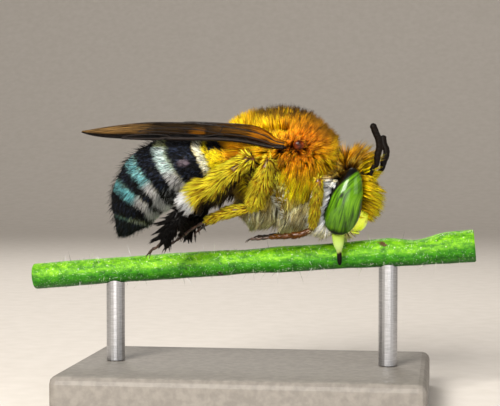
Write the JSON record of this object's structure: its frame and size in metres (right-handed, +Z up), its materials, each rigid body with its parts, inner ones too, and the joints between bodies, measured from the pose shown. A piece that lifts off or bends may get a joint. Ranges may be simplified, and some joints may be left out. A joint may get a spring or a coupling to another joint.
{
  "type": "blue-banded bee on a stem, display model",
  "caption": "Life-size still model of a male blue-banded bee at rest, jaws gripping a short cut length of green stem held on a small flat display stand.",
  "frame": {"origin": "centre of the underside of the display stand's base, in the middle of the whole model's box", "axes": "+X the way the bee faces and along the stem, -Y the bee's right side, +Z up"},
  "size_m": [0.02, 0.01, 0.0132],
  "materials": {
    "thorax_coat": "dense golden hair, orange on the sides, black-tipped along the back",
    "head_coat": "golden-yellow face and crown hair, white below and behind the eyes",
    "abdomen_coat": "black plates with pale blue-green hair bands, satin",
    "leg_coat": "golden-yellow hair over brown legs",
    "dark_coat": "black brush hair on the hind feet",
    "foot_horn": "brown horn, satin",
    "eye": "glossy green compound eye with dark streaks",
    "feeler": "black-brown horn, satin",
    "face_plate": "yellow-green face plate with black pits, satin",
    "jaw": "pale yellow-green with a black-brown tip, glossy",
    "wing_scale": "amber-brown horn, glossy",
    "wing": "clear smoky-brown membrane with dark veins",
    "stem": "green plant stem with fine white hairs",
    "stand": "matt warm grey",
    "rod": "satin"
  },
  "bodies": {
    "root": {"head": "head_coat", "thorax": "thorax_coat", "clypeus": "face_plate", "labrum": "face_plate", "perch_stem": "stem", "stand_base": "stand", "stand_rod_front": "rod", "stand_rod_back": "rod", "abdomen_1": "abdomen_coat", "abdomen_2": "abdomen_coat", "abdomen_3": "abdomen_coat", "abdomen_4": "abdomen_coat", "abdomen_5": "abdomen_coat", "abdomen_6": "abdomen_coat", "eye_right": "eye", "antenna_scape_right": "feeler", "antenna_flagellum_right": "feeler", "mandible_right": "jaw", "tegula_right": "wing_scale", "forewing_right": "wing", "hindwing_right": "wing", "foreleg_femur_right": "leg_coat", "foreleg_tibia_right": "leg_coat", "foreleg_basitarsus_right": "leg_coat", "foreleg_tarsus_right": "foot_horn", "midleg_femur_right": "leg_coat", "midleg_tibia_right": "leg_coat", "midleg_basitarsus_right": "leg_coat", "midleg_tarsus_right": "foot_horn", "hindleg_femur_right": "leg_coat", "hindleg_tibia_right": "leg_coat", "hindleg_basitarsus_right": "dark_coat", "hindleg_tarsus_right": "foot_horn", "eye_left": "eye", "antenna_scape_left": "feeler", "antenna_flagellum_left": "feeler", "mandible_left": "jaw", "tegula_left": "wing_scale", "forewing_left": "wing", "hindwing_left": "wing", "foreleg_femur_left": "leg_coat", "foreleg_tibia_left": "leg_coat", "foreleg_basitarsus_left": "leg_coat", "foreleg_tarsus_left": "foot_horn", "midleg_femur_left": "leg_coat", "midleg_tibia_left": "leg_coat", "midleg_basitarsus_left": "leg_coat", "midleg_tarsus_left": "foot_horn", "hindleg_femur_left": "leg_coat", "hindleg_tibia_left": "leg_coat", "hindleg_basitarsus_left": "dark_coat", "hindleg_tarsus_left": "foot_horn"}
  },
  "joints": []
}
